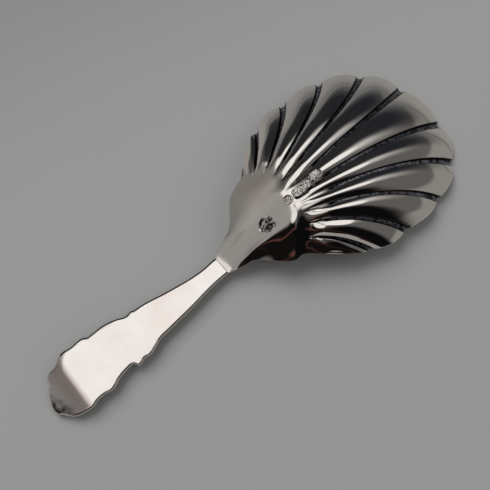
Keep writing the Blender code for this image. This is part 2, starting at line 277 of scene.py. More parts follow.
@dataclass(frozen=True)
class PolishedSilver:
    """Sterling silver, stamped and hand polished, darkened where polish doesn't reach.

    Hand polishing leaves a mirror with slow waves in it and fine hairlines; the flute grooves keep a
    speckled blue-black sulphide film, and the often-rubbed heel is worn to a soft satin.
    """

    name: str = "polished_silver"
    colour: str = "#F3EFEA"
    rubbed_colour: str = "#EFE9E2"
    film_edge: str = "#0C0C0E"
    film_dark: str = "#1E1F24"
    film_pale: str = "#A9ACB5"
    mirror_roughness: Pair = (0.03, 0.06)
    satin_roughness: Pair = (0.59, 0.70)
    film_roughness: float = 0.38
    film_coat: Pair = (0.05, 0.4)
    film_floor: Pair = (0.55, 0.9)
    wave_length: float = 5.0 * MM
    wave_height: float = 0.006 * MM
    # Real hairlines are about 0.02 mm wide; they are drawn ten times coarser so that they show
    hairline_width: float = 0.2 * MM
    hairline_length: float = 4.0 * MM
    hairline_depth: float = 0.00015 * MM
    mirror_hairlines: Pair = (0.35, 0.75)
    satin_hairlines: Pair = (0.3, 0.7)
    speckle: float = 0.8 * MM
    speckled: Pair = (0.4, 0.62)

    def make(self) -> bpy.types.Material:
        """Build the material.

        Returns:
            The material, which reads the attributes film and satin.
        """
        material, tree, place = start_material(self.name)
        film = add_node(tree, "ShaderNodeAttribute", attribute_name="film").outputs["Fac"]
        satin = add_node(tree, "ShaderNodeAttribute", attribute_name="satin").outputs["Fac"]

        # Slow waves of the hand-polished sheet, and hairlines along the spoon
        wave = noise(tree, place, self.wave_length, detail=1.0)
        stretch = (1 / self.hairline_length, 1 / self.hairline_width, 1 / self.hairline_width)
        along = add_node(tree, "ShaderNodeMapping", {"Vector": place, "Scale": stretch}).outputs["Vector"]
        hair = noise(tree, along, 1.0, detail=3.0, roughness=0.7)

        # The film that settled in the grooves is black on their walls and speckled on their floors
        spots = noise(tree, place, self.speckle, detail=4.0, roughness=0.75)
        speck = colour_ramp(tree, spots, self.speckled, (self.film_dark, self.film_pale))
        deposit = mix(tree, remap(tree, film, self.film_floor), self.film_edge, speck)
        coat = remap(tree, film, self.film_coat)
        rubbed = mix(tree, satin, self.colour, self.rubbed_colour)
        base = mix(tree, coat, rubbed, deposit)

        mirror = remap(tree, hair, self.mirror_hairlines, self.mirror_roughness)
        worn = remap(tree, hair, self.satin_hairlines, self.satin_roughness)
        sheen = add_node(
            tree, "ShaderNodeMix", {"Factor": satin, "A": mirror, "B": worn}, data_type="FLOAT"
        ).outputs[0]
        rough = add_node(
            tree, "ShaderNodeMix", {"Factor": coat, "A": sheen, "B": self.film_roughness}, data_type="FLOAT"
        ).outputs[0]

        waves = add_node(tree, "ShaderNodeBump", {"Height": wave, "Distance": self.wave_height})
        lines = add_node(
            tree,
            "ShaderNodeBump",
            {"Height": hair, "Distance": self.hairline_depth, "Normal": waves.outputs["Normal"]},
        )
        end_metal(tree, base, rough, lines.outputs["Normal"])
        return material


@dataclass(frozen=True)
class SatinSilver:
    """Sterling silver strip, rolled and rubbed to a satin.

    Fine rubbing blurs what it mirrors into a soft white sheen, with faint warm clouding from handling and
    dark stains of tarnish at the tip. Past the bend its colour holds painted shade, brownish then grey.
    """

    name: str = "satin_silver"
    colour: str = "#FCFAF7"
    clouded_colour: str = "#F6EDE9"
    roughness: Pair = (0.10, 0.18)
    cloud: float = 8.0 * MM
    clouded: Pair = (0.38, 0.68)
    # Real rubbing marks are about 0.02 mm wide; they are drawn coarser so that they show
    grain: float = 0.2 * MM
    grain_depth: float = 0.0004 * MM
    grained: Pair = (0.3, 0.7)
    # Painted shade past the bend, brownish at first and then grey; after it the dark stains at the very end
    bend_shade_brown_colour: str = "#C2B6B2"
    bend_shade_grey_colour: str = "#D3D3CD"
    stained_colour: str = "#4A433E"
    bend_shaded: Pair = (-38.7 * MM, -39.7 * MM)
    bend_shade_greying: Pair = (-41.0 * MM, -43.4 * MM)
    stain: float = 1.3 * MM
    stain_direction: Triple = (-0.93, -0.37, 0.0)
    stained: Pair = (38.8 * MM, 41.9 * MM)
    stained_most: float = 0.62
    tarnished: Pair = (0.72, 1.1)

    def make(self) -> bpy.types.Material:
        """Build the material.

        Returns:
            The material.
        """
        material, tree, place = start_material(self.name)
        cloud = noise(tree, place, self.cloud, detail=5.0, roughness=0.65)
        clean = mix(tree, remap(tree, cloud, self.clouded), self.colour, self.clouded_colour)

        # Past the bend painted shade: brownish at first, then grey, with dark stains at the very end
        past = add_node(tree, "ShaderNodeSeparateXYZ", {"Vector": place}).outputs["X"]
        painted_bend_shade = mix(tree, remap(tree, past, self.bend_shade_greying), self.bend_shade_brown_colour, self.bend_shade_grey_colour)
        bend_shaded = mix(tree, remap(tree, past, self.bend_shaded), clean, painted_bend_shade)
        near = remap(
            tree, distance_along(tree, place, self.stain_direction), self.stained, (0.0, self.stained_most)
        )
        stain = noise(tree, place, self.stain, detail=6.0, roughness=0.7)
        stained = add_node(tree, "ShaderNodeMath", {0: near, 1: stain}, operation="ADD").outputs[0]
        base = mix(tree, remap(tree, stained, self.tarnished), bend_shaded, self.stained_colour)

        grain = noise(tree, place, self.grain, detail=4.0, roughness=0.7)
        rough = remap(tree, grain, self.grained, self.roughness)
        bump = add_node(tree, "ShaderNodeBump", {"Height": grain, "Distance": self.grain_depth})
        end_metal(tree, base, rough, bump.outputs["Normal"])
        return material


@dataclass(frozen=True)
class OxideAndShadeSilver:
    """Silver where the polishing cloth seldom reaches: inside a punched mark or along an edge.

    A grey-black sulphide film covers it, rubbed through to bright metal on the small high places. How much
    of it is bare sets it apart, from the floor of a mark to an edge that handling keeps bright. Along the
    handle's back edge its dark film is painted shade, a dark line drawn on that rounding.
    """

    name: str = "oxidised_silver"
    # Dark film colour; on the handle's back edge it is painted shade
    film: str = "#2E2C2C"
    bright: str = "#E6E0DA"
    grain: float = 0.55 * MM
    grain_height: float = 0.06 * MM
    bare: Pair = (0.47, 0.6)
    roughness: float = 0.3

    def make(self) -> bpy.types.Material:
        """Build the material.

        Returns:
            The material.
        """
        material, tree, place = start_material(self.name)
        grain = noise(tree, place, self.grain, detail=3.0)
        base = colour_ramp(tree, grain, self.bare, (self.film, self.bright))
        bump = add_node(tree, "ShaderNodeBump", {"Height": grain, "Distance": self.grain_height})
        end_metal(tree, base, self.roughness, bump.outputs["Normal"])
        return material


@dataclass(frozen=True)
class FiledSolder:
    """Silver solder, filed flush.

    Its zinc and copper make it a little yellower and duller than the silver, with filing marks across.
    """

    name: str = "filed_silver_solder"
    colour: str = "#C9C2B4"
    dull_colour: str = "#9F998E"
    file_mark_width: float = 0.12 * MM
    file_mark_length: float = 1.2 * MM
    file_mark_depth: float = 0.004 * MM
    roughness: float = 0.34

    def make(self) -> bpy.types.Material:
        """Build the material.

        Returns:
            The material.
        """
        material, tree, place = start_material(self.name)
        stretch = (1 / self.file_mark_width, 1 / self.file_mark_length, 1 / self.file_mark_width)
        across = add_node(tree, "ShaderNodeMapping", {"Vector": place, "Scale": stretch}).outputs["Vector"]
        mark = noise(tree, across, 1.0)
        base = mix(tree, mark, self.colour, self.dull_colour)
        bump = add_node(tree, "ShaderNodeBump", {"Height": mark, "Distance": self.file_mark_depth})
        end_metal(tree, base, self.roughness, bump.outputs["Normal"])
        return material


@dataclass(frozen=True)
class PaintedTable:
    """Matt painted board under the spoon: a plain pale grey with a barely seen unevenness.

    It darkens softly away from the lamps: towards its far side in what the silver mirrors of it, and
    towards a corner in what the eye sees of it.
    """

    name: str = "matt_grey_paint"
    mirrored_colour: str = "#969390"
    mirrored_warm_colour: str = "#999692"
    shown_colour: str = "#949494"
    shown_warm_colour: str = "#969695"
    far_colour: str = "#6A6A6A"
    far_direction: Triple = (0.647, 0.762, 0.0)
    far: Pair = (8.0 * MM, 100.0 * MM)
    corner_direction: Triple = (0.18, 0.98, 0.0)
    corner: Pair = (18.0 * MM, 100.0 * MM)
    corner_most: float = 0.48
    patch: float = 30.0 * MM
    roughness: float = 0.85
    gloss: float = 0.1

    def make(self) -> bpy.types.Material:
        """Build the material.

        Returns:
            The material.
        """
        material, tree, place = start_material(self.name)
        patch = noise(tree, place, self.patch, detail=3.0)
        away = distance_along(tree, place, self.far_direction)
        far = remap(tree, away, self.far, easing="SMOOTHSTEP")
        lit = mix(tree, patch, self.mirrored_colour, self.mirrored_warm_colour)
        mirrored = mix(tree, far, lit, self.far_colour)

        aside = distance_along(tree, place, self.corner_direction)
        corner = remap(tree, aside, self.corner, (0.0, self.corner_most), easing="SMOOTHSTEP")
        shown = mix(tree, patch, self.shown_colour, self.shown_warm_colour)
        dimmed = mix(tree, corner, shown, self.far_colour)

        seen = add_node(tree, "ShaderNodeLightPath").outputs["Is Camera Ray"]
        base = mix(tree, seen, mirrored, dimmed)
        shader = add_node(
            tree,
            "ShaderNodeBsdfPrincipled",
            {"Base Color": base, "Roughness": self.roughness, "Specular IOR Level": self.gloss},
        )
        add_node(tree, "ShaderNodeOutputMaterial", {"Surface": shader.outputs["BSDF"]})
        return material


class MarkShape(Enum):
    """Outline of a blank punched mark."""

    SHIELD = "shield"
    BAR = "bar"
    ROUND = "round"


@dataclass(frozen=True)
class PunchMark:
    """A blank worn mark punched into the sheet: its outline, place in plan, size, depth and dark part.

    A deep mark keeps its dark film on the floor, a shallow one along its walls, round a worn floor.
    """

    shape: MarkShape
    x: float
    y: float
    length: float
    width: float
    depth: float
    dark_floor: bool
    bar_squareness: float = 0.5
    round_squareness: float = 0.85
    corners_round: int = 24

    def outline(self) -> list[Pair]:
        """Corners of the mark round its own middle.

        Returns:
            Points in order, in metres.
        """
        half_x, half_y = self.length / 2, self.width / 2
        if self.shape is MarkShape.SHIELD:
            corners = [
                (-1.0, 0.0), (-0.62, -0.6), (-0.1, -0.92), (0.45, -0.8), (0.55, -1.0), (0.95, -0.75),
                (0.85, -0.2), (1.0, 0.1), (0.8, 0.75), (0.4, 0.7), (0.1, 1.0), (-0.45, 0.8), (-0.8, 0.45),
            ]
        else:
            power = self.bar_squareness if self.shape is MarkShape.BAR else self.round_squareness
            turns = np.linspace(0.0, 2 * np.pi, self.corners_round, endpoint=False)
            across, up = np.cos(turns), np.sin(turns)
            corners = zip(
                np.sign(across) * np.abs(across) ** power, np.sign(up) * np.abs(up) ** power, strict=True
            )
        return [(float(a) * half_x, float(b) * half_y) for a, b in corners]


@dataclass
class ShellForm:
    """Surface of the stamped shell, as the CAD sheet has it, at any fineness.

    A place on it is across, from -1 to 1 over the flutes, and along: -1 at the neck seam, 0 at the roots
    of the flutes and 1 at the rim.
    """

    seam_x: float = -7.6 * MM
    neck_thickness: float = 1.5 * MM
    neck_top: float = 2.638 * MM
    neck_centre_y: float = -0.3 * MM
    neck_half_width: float = 1.8 * MM
    neck_blend: float = 0.35
    sheet_thickness: float = 0.9 * MM

    rim_centre_x: float = 24.0 * MM
    rim_half_length: float = 20.17 * MM
    rim_half_width: float = 16.86 * MM
    rim_front_power: float = 2.33
    rim_back_power: float = 2.38
    rim_front_height: float = 0.6 * MM
    rim_slope: float = 0.112
    rim_side_lift: float = 0.28 * MM
    dome_height: float = 8.12 * MM
    dome_fall_power: float = 1.62
    dome_fall_side: float = 0.11
    dome_root_share: float = 0.75
    dome_rise_end: float = 0.463
    dome_root_flatness: float = 2.84
    dome_rim_flatness: float = 2.53
    dome_flatness_end: float = 0.63
    dome_side_start: float = 0.84

    flute_count: int = 11
    flute_rim_angles: tuple[float, ...] = (29.4, 30.4, 28.1, 20.7, 22.3, 10.8)
    flute_bow_along: float = 0.719
    flute_bow_middle: float = 0.445
    flute_bow_side: float = 0.648
    flute_crown: float = 0.44 * MM
    flute_crown_power: float = 1.8
    open_side_fall: float = 0.2
    flute_growth: float = 0.16
    open_side_growth: float = 0.3
    scallop_depth: float = 0.8 * MM
    scallop_power: float = 2.2
    side_flute_cut: float = 0.2
    groove_rim_width: float = 1.5 * MM
    groove_root_width: float = 0.4 * MM
    groove_depth: float = 0.40 * MM
    groove_floor_share: float = 0.62

    root_x: float = 7.4 * MM
    root_setback: float = 3.25 * MM
    root_half_width: float = 8.69 * MM
    waist_x: float = -4.1 * MM
    waist_half_width: float = 3.1 * MM
    ear_x: float = 2.8 * MM
    heel_rounding: float = 1.0 * MM
    heel_shoulder_rounding: float = 6.5 * MM
    heel_top_neck_half: float = 0.5 * MM
    heel_top_root_half: float = 2.7 * MM
    heel_flank_least: float = 0.3 * MM
    heel_flank_softness: float = 0.8
    heel_to_dome: float = 0.55
    # The heel runs softly into the outer flutes; each side gives where that starts and how soon it is full
    heel_blend: float = 0.24
    heel_blend_back: Pair = (0.05, 0.3)
    heel_blend_front: Pair = (0.5, 0.25)
    heel_blend_reach: float = 0.5
    heel_blend_fade: float = 3.0
    heel_blend_edge: float = 0.16
    heel_blend_edge_share: float = 0.3
    heel_blend_steps: tuple[float, ...] = (-0.75, -0.45, -0.15, 0.15, 0.45, 0.75)
    heel_ramp_delay: float = 1.0 * MM
    heel_ramp_rounding: float = 0.35 * MM
    heel_edge_rise: float = 1.1 * MM
    heel_edge_rise_power: float = 1.1
    heel_front_dip: float = 0.62 * MM
    heel_front_dip_power: float = 0.75
    heel_front_neck_half: float = 1.55 * MM
    heel_front_root_half: float = 3.0 * MM
    heel_front_softness: float = 0.3

    corner_across: float = 0.9
    corner_along: float = 0.9
    step: float = 1e-4

    @property
    def notch_x(self) -> float:
        """Place along the spoon of the notch between heel and rim."""
        return self.root_x - self.root_setback

    def rim_plan(self, across: np.ndarray) -> tuple[np.ndarray, np.ndarray]:
        """Plan of the trimmed rim, at the groove ends.

        Args:
            across: Places across the flutes.

        Returns:
            The rim's x and y.
        """
        steps = np.array(self.flute_rim_angles)
        turned = steps[0] / 2 + np.concatenate(([0.0], np.cumsum(steps[1:])))
        stations = np.append(np.arange(1, self.flute_count - 1, 2) / self.flute_count, 1.0)
        places = np.concatenate((-stations[::-1], stations))
        degrees = np.interp(across, places, np.concatenate((-turned[::-1], turned)))
        cosine, sine = np.cos(np.radians(degrees)), np.sin(np.radians(degrees))
        power = 2.0 / np.where(cosine > 0, self.rim_front_power, self.rim_back_power)
        x = self.rim_centre_x + self.rim_half_length * np.sign(cosine) * np.abs(cosine) ** power
        return x, self.rim_half_width * np.sign(sine) * np.abs(sine) ** power

    def rim_height(self, x: np.ndarray, y: np.ndarray) -> np.ndarray:
        """Height of the sloping surface that the rim lies in; its sides lie a little higher."""
        slope = self.rim_slope * (self.rim_centre_x + self.rim_half_length - x)
        return self.rim_front_height + slope + self.rim_side_lift * (y / self.rim_half_width) ** 2

    def dome(self, across: np.ndarray, along: np.ndarray) -> np.ndarray:
        """Smooth dome under the flutes, straight at its sides.

        Args:
            across: Places across the flutes.
            along: Places along them, 0 at the roots and 1 at the rim.

        Returns:
            Points, one row of x, y and z each.
        """
        root_x = self.root_x - self.root_setback * across**4
        root_y = self.root_half_width * across
        end_x, end_y = self.rim_plan(across)
        bow = self.flute_bow_middle + (self.flute_bow_side - self.flute_bow_middle) * across**2
        turn_x = root_x + (end_x - root_x) * self.flute_bow_along
        turn_y = root_y + (end_y - root_y) * bow
        back = 1.0 - along
        x = root_x * back**2 + 2.0 * turn_x * along * back + end_x * along**2
        y = root_y * back**2 + 2.0 * turn_y * along * back + end_y * along**2
        share = np.clip(along / self.dome_flatness_end, 0.0, 1.0)
        flatness = self.dome_root_flatness + (self.dome_rim_flatness - self.dome_root_flatness) * share
        curved = np.minimum(np.abs(across), self.dome_side_start)
        straight = np.maximum(np.abs(across) - self.dome_side_start, 0.0)
        arch = 1.0 - curved**flatness - straight * flatness * self.dome_side_start ** (flatness - 1.0)
        rise = np.sin(0.5 * np.pi * np.clip(along / self.dome_rise_end, 0.0, 1.0))
        fall = 1.0 - np.maximum(along, 0.0) ** (self.dome_fall_power + self.dome_fall_side * across**2)
        height = self.dome_height * arch * fall
        height = height * (self.dome_root_share + (1.0 - self.dome_root_share) * rise)
        return np.stack((x, y, self.rim_height(x, y) + height), axis=-1)

    def heel(self, across: np.ndarray, along: np.ndarray) -> np.ndarray:
        """Smooth heel with a flat top and steep flanks.

        Args:
            across: Places across the heel.
            along: Places along it, 0 at the neck seam and 1 at the roots of the flutes.

        Returns:
            Points, one row of x, y and z each.
        """
        root_x = self.root_x - self.root_setback * across**4
        x = self.seam_x + (root_x - self.seam_x) * along
        edge_x = self.seam_x + (self.notch_x - self.seam_x) * along
        taper = np.clip((edge_x - self.seam_x) / (self.waist_x - self.seam_x), 0.0, 1.0)
        flare = smooth((edge_x - self.waist_x) / (self.ear_x - self.waist_x))
        half = self.neck_half_width + (self.waist_half_width - self.neck_half_width) * taper
        half = half + (self.root_half_width - self.waist_half_width) * flare
        y = across * half + self.neck_centre_y * (1.0 - smooth(along))

        length = self.root_x - self.seam_x
        root_top, root_edge = self.dome(np.array((0.0, 1.0)), np.zeros(2))[:, 2]
        rounding = self.heel_rounding + self.heel_shoulder_rounding * across**2
        # The ramp starts along a slanting line, later at the front, with a small hollow rounding
        delay = self.heel_ramp_delay * (1.0 - across) / 2
        climb = np.maximum(along * length - delay, 0.0)
        climb = climb**2 / (climb + self.heel_ramp_rounding)
        whole = (length - delay) ** 2 / (length - delay + self.heel_ramp_rounding)
        slope = (root_top - self.neck_top) / (whole - rounding / 2)
        into_round = np.clip(along * length - (length - rounding), 0.0, rounding)
        top = self.neck_top + slope * (climb - into_round**2 / (2.0 * rounding))
        front = across < 0.0
        rise = self.heel_edge_rise * np.sin(np.pi * along**self.heel_edge_rise_power)
        dip = self.heel_front_dip * np.sin(np.pi * along**self.heel_front_dip_power)
        edge = self.neck_top + (root_edge - self.neck_top) * along + np.where(front, rise - dip, rise)

        neck_flat = np.where(front, self.heel_front_neck_half, self.heel_top_neck_half)
        root_flat = np.where(front, self.heel_front_root_half, self.heel_top_root_half)
        flat = np.minimum(neck_flat + (root_flat - neck_flat) * along, half - self.heel_flank_least)
        out = np.maximum(np.abs(across) * half - flat, 0.0) / (half - flat)
        soft = np.where(front, self.heel_front_softness, self.heel_flank_softness)
        section = 1.0 - (np.hypot(out, soft) - soft) / (np.hypot(1.0, soft) - soft)
        arch = (self.dome(across, np.zeros_like(along))[..., 2] - root_edge) / (root_top - root_edge)
        blend = smooth((along - self.heel_to_dome) / (1.0 - self.heel_to_dome))
        section = section + (arch - section) * blend
        return np.stack((x, y, edge + (top - edge) * section), axis=-1)

    def plain(self, across: np.ndarray, along: np.ndarray) -> np.ndarray:
        """Shell without its flutes; the heel runs softly into the outer ones and breaks at the others."""
        back_start, back_fade = self.heel_blend_back
        front_start, front_fade = self.heel_blend_front
        back = smooth((across - back_start) / back_fade)
        front = smooth((-across - front_start) / front_fade)
        near_root = smooth(self.heel_blend_fade * (self.heel_blend_reach - np.abs(along)))
        held = smooth((1.0 + across) / self.heel_blend_edge)
        held = self.heel_blend_edge_share + (1.0 - self.heel_blend_edge_share) * held
        spread = self.heel_blend * np.where(across > 0.0, back, front) * near_root * held
        weights = [1.0 - abs(shift) for shift in self.heel_blend_steps]
        total = np.zeros((*across.shape, 3))
        for shift, weight in zip(self.heel_blend_steps, weights, strict=True):
            place = along + shift * spread
            heel = self.heel(across, np.clip(place + 1.0, 0.0, 1.0))
            dome = self.dome(across, np.maximum(place, 0.0))
            total += np.where((place < 0.0)[..., None], heel, dome) * (weight / sum(weights))
        return total

    def wall_direction(self, across: np.ndarray, along: np.ndarray) -> np.ndarray:
        """Outward unit directions of the sheet's wall, kept as they are in the outermost corners."""
        across = np.clip(across, -self.corner_across, self.corner_across)
        along = np.minimum(along, self.corner_along)
        before = np.maximum(along - self.step, -1.0)
        sideways = self.plain(across + self.step, along) - self.plain(across - self.step, along)
        lengthways = self.plain(across, along + self.step) - self.plain(across, before)
        normal = np.cross(lengthways, sideways)
        return normal / np.linalg.norm(normal, axis=-1, keepdims=True)

    def half_groove(self, flute: np.ndarray, along: np.ndarray) -> np.ndarray:
        """Half of a groove's width as a share of its flute's width."""
        left = self.dome(-1.0 + 2.0 * flute / self.flute_count, along)
        right = self.dome(-1.0 + 2.0 * (flute + 1) / self.flute_count, along)
        groove = self.groove_root_width + (self.groove_rim_width - self.groove_root_width) * along
        return groove / 2 / np.linalg.norm(right - left, axis=-1)

    def walls(
        self, flute: np.ndarray, phase: np.ndarray, depth: np.ndarray, along: np.ndarray
    ) -> tuple[np.ndarray, np.ndarray]:
        """Outer and inner points of the fluted sheet.

        Args:
            flute: Number of the flute, from 0.
            phase: Place in the flute, from 0 to 1.
            depth: How much of the groove's depth the place is sunk by.
            along: Place along the shell.

        Returns:
            Outer points and inner points.
        """
        across = -1.0 + 2.0 * (flute + phase) / self.flute_count
        fluted = np.maximum(along, 0.0)
        swing = np.abs(2.0 * phase - 1.0)
        length = np.linalg.norm(
            self.dome(across, np.ones_like(across)) - self.dome(across, np.zeros_like(across)), axis=-1
        )
        scallop = self.scallop_depth / length * (1.0 - swing**self.scallop_power)
        side = smooth((np.abs(across) * self.flute_count - self.flute_count + 2) / 2)
        reach = np.where(along > 0.0, along * (1.0 + scallop - self.side_flute_cut * side), along)
        normal = self.wall_direction(across, reach)
        growth = smooth(fluted / (self.flute_growth + self.open_side_growth * side))
        off_crest = np.minimum(swing / (1.0 - 2.0 * self.half_groove(flute, fluted)), 1.0)
        open_side = np.abs(across) > 1.0 - 1.0 / self.flute_count
        off_crest = np.where(open_side, self.open_side_fall * off_crest, off_crest)
        crest = self.flute_crown * (1.0 - off_crest**self.flute_crown_power)
        sunk = self.groove_depth * depth
        outer = self.plain(across, reach) + normal * (growth * (crest - sunk))[..., None]

        from_neck = smooth(np.clip((along + 1.0) / self.neck_blend, 0.0, 1.0))
        wall = self.neck_thickness + (self.sheet_thickness - self.neck_thickness) * from_neck
        upright = np.array((0.0, 0.0, 1.0))
        inward = upright + (normal - upright) * from_neck[..., None]
        inward = inward / np.linalg.norm(inward, axis=-1, keepdims=True)
        inner = outer - inward * wall[..., None]
        inner[..., 2] = np.maximum(inner[..., 2], 0.0)
        return outer, inner


@dataclass(frozen=True)
class WornPatch:
    """Where handling has worn the heel to a satin, in places across and along the sheet."""

    end: float = 0.02
    end_further: float = 0.12
    further_start: float = 0.3
    further_fade: float = 0.3
    end_fade: float = 0.11
    front_at_root: float = 0.42
    front_growth: float = 0.54
    front_power: float = 1.6
    front_fade: float = 0.14
    least: float = 0.4
    shoulder_across: float = 0.02
    shoulder_along: float = -0.5
    shoulder_fade: float = 0.3

    def share(self, across: np.ndarray, along: np.ndarray) -> np.ndarray:
        """Share of satin at places on the sheet.

        Args:
            across: Places across the flutes.
            along: Places along the shell.

        Returns:
            The shares, greatest on the heel's back shoulder.
        """
        end = self.end + self.end_further * smooth((across - self.further_start) / self.further_fade)
        front = self.front_at_root + self.front_growth * np.clip(-along, 0.0, 1.0) ** self.front_power
        worn = smooth((end - along) / self.end_fade) * smooth((front + across) / self.front_fade)
        shoulder = smooth((across - self.shoulder_across) / self.shoulder_fade)
        shoulder = shoulder * smooth((along - self.shoulder_along) / self.shoulder_fade)
        return worn * (self.least + (1.0 - self.least) * shoulder)


@dataclass
class ShellBowl:
    """Stamped bowl: fluted sheet, smooth heel, neck tongue and blank punched marks."""

    form: ShellForm
    silver: PolishedSilver
    pocket: OxideAndShadeSilver
    worn_pocket: OxideAndShadeSilver
    worn_patch: WornPatch
    name: str = "fluted_bowl"
    heel_rows: int = 44
    flute_rows: int = 92
    groove_stations: tuple[float, ...] = (0.0, 0.45, 0.62, 0.74, 0.87)
    lobe_stations: tuple[float, ...] = (0.0, 0.03, 0.08, 0.16, 0.26, 0.38, 0.5)
    film_stations: Pair = (0.5, 0.7)
    film_shares: Pair = (1.0, 0.5)
    film_lip: float = 0.4
    film_start: float = 0.06
    film_growth: float = 0.2
    edge_rounding: float = 0.22 * MM
    edge_faces: int = 3
    crease: float = math.radians(38)
    tongue_length: float = 4.5 * MM
    tongue_width: float = 3.3 * MM
    tongue_thickness: float = 0.6 * MM
    tongue_root: float = 0.3 * MM
    tongue_rounding: float = 0.12 * MM
    tongue_faces: int = 2
    punch_rise: float = 3.0
    punch_floor_facing: float = -0.9
    punch_height_pull: float = 0.5
    marks: tuple[PunchMark, ...] = (
        PunchMark(MarkShape.SHIELD, 1.95 * MM, -1.1 * MM, 3.3 * MM, 2.9 * MM, 0.26 * MM, True),
        PunchMark(MarkShape.ROUND, 7.1 * MM, -0.8 * MM, 1.9 * MM, 1.8 * MM, 0.2 * MM, False),
        PunchMark(MarkShape.BAR, 10.0 * MM, -0.65 * MM, 4.3 * MM, 1.9 * MM, 0.2 * MM, False),
        PunchMark(MarkShape.ROUND, 13.6 * MM, -0.42 * MM, 2.7 * MM, 2.4 * MM, 0.22 * MM, False),
    )

    @property
    def half_flute(self) -> int:
        """Columns in half a flute."""
        return len(self.groove_stations) + len(self.lobe_stations) - 1

    @property
    def columns(self) -> int:
        """Columns across the whole sheet."""
        return 2 * self.half_flute * self.form.flute_count

    @property
    def rows(self) -> int:
        """Rows from the neck to the rim."""
        return self.heel_rows + self.flute_rows

    def sheet_points(self, column: np.ndarray, row: np.ndarray) -> tuple[np.ndarray, ...]:
        """Points and finish of the sheet for whole-number places in its grid.

        Args:
            column: Column numbers.
            row: Row numbers.

        Returns:
            Outer points, inner points, share of dark film and share of satin.
        """
        count = self.form.flute_count
        heel = row / self.heel_rows - 1.0
        along = np.where(row < self.heel_rows, heel, (row - self.heel_rows) / self.flute_rows)
        flute = np.minimum(column // (2 * self.half_flute), count - 1)
        place = column - flute * 2 * self.half_flute
        inward = np.minimum(place, 2 * self.half_flute - place)
        fluted = np.maximum(along, 0.0)
        half_groove = self.form.half_groove(flute, fluted)
        grooves = len(self.groove_stations)
        in_groove = inward < grooves
        station = np.array(self.groove_stations)[np.minimum(inward, grooves - 1)]
        lobe = np.array(self.lobe_stations)[np.maximum(inward - grooves, 0)]
        on_lobe = half_groove + (1.0 - 2.0 * half_groove) * lobe
        half_phase = np.where(in_groove, half_groove * station, on_lobe)
        phase = np.where(place <= self.half_flute, half_phase, 1.0 - half_phase)
        wall = smooth((station - self.form.groove_floor_share) / (1.0 - self.form.groove_floor_share))
        open_side = ((flute == 0) & (place < self.half_flute)) | (
            (flute == count - 1) & (place > self.half_flute)
        )
        depth = np.where(in_groove & ~open_side, 1.0 - wall, 0.0)
        outer, inner = self.form.walls(flute, phase, depth, along)
        film = np.where(inward == grooves, self.film_lip, 0.0)
        film = np.where(in_groove, np.interp(station, self.film_stations, self.film_shares), film)
        film = np.where(open_side, 0.0, film) * smooth((fluted - self.film_start) / self.film_growth)
        satin = self.worn_patch.share(2.0 * (flute + phase) / count - 1.0, along)
        return outer, inner, film, satin

    def press_sheet(self) -> Piece:
        """Press a flat grid into the closed, fluted sheet with rounded rim edges.

        Returns:
            The sheet, with its film and satin attributes.
        """
        deselect_all()
        bpy.ops.mesh.primitive_grid_add(x_subdivisions=self.columns, y_subdivisions=self.rows, size=2.0)
        sheet = bpy.context.active_object
        sheet.name = self.name
        mesh = sheet.data
        mesh.name = self.name
        for layer in ("film", "satin"):
            mesh.attributes.new(layer, "FLOAT", "POINT")
        top_count = len(mesh.vertices)
        bpy.ops.object.mode_set(mode="EDIT")
        bpy.ops.mesh.select_all(action="SELECT")
        bpy.ops.mesh.extrude_region()
        bpy.ops.object.mode_set(mode="OBJECT")

        flat = read_points(mesh)
        column = np.rint((flat[:, 0] + 1.0) / 2.0 * self.columns).astype(int)
        row = np.rint((flat[:, 1] + 1.0) / 2.0 * self.rows).astype(int)
        lining = np.arange(len(flat)) >= top_count
        outer, inner, film, satin = self.sheet_points(column, row)
        place_points(mesh, np.where(lining[:, None], inner, outer))
        for layer, share in (("film", film), ("satin", satin)):
            shares = np.where(lining, 0.0, share).astype(np.float32)
            mesh.attributes[layer].data.foreach_set("value", shares)

        edge = (column == 0) | (column == self.columns) | (row == self.rows)
        ends = np.empty(len(mesh.edges) * 2, np.int32)
        mesh.edges.foreach_get("vertices", ends)
        first, second = ends.reshape(-1, 2).T
        same_line = (column[first] == column[second]) & (np.isin(column[first], (0, self.columns)))
        same_line |= (row[first] == row[second]) & (row[first] == self.rows)
        rim = edge[first] & edge[second] & (lining[first] == lining[second]) & same_line
        bevel_edges(sheet, rim, self.edge_rounding, self.edge_faces)
        bpy.ops.object.mode_set(mode="EDIT")
        bpy.ops.mesh.select_all(action="SELECT")
        bpy.ops.mesh.normals_make_consistent(inside=False)
        bpy.ops.object.mode_set(mode="OBJECT")
        return sheet

    def join_tongue(self, sheet: Piece) -> None:
        """Join the tongue that lies under the handle to the sheet's neck."""
        form = self.form
        low = form.neck_top - form.neck_thickness
        centre = (
            form.seam_x + (self.tongue_root - self.tongue_length) / 2,
            form.neck_centre_y,
            low + self.tongue_thickness / 2,
        )
        size = (self.tongue_length + self.tongue_root, self.tongue_width, self.tongue_thickness)
        deselect_all()
        bpy.ops.mesh.primitive_cube_add(size=1.0, location=centre, scale=size)
        tongue = bpy.context.active_object
        bpy.ops.object.transform_apply(location=True, rotation=True, scale=True)
        points = read_points(tongue.data)
        ends = np.array([list(edge.vertices) for edge in tongue.data.edges])
        at_end = np.all(points[ends][:, :, 0] < centre[0], axis=1)
        bevel_edges(tongue, at_end, self.tongue_rounding, self.tongue_faces)
        apply_modifier(sheet, "BOOLEAN", operation="UNION", object=tongue, solver="EXACT")
        bpy.data.objects.remove(tongue)

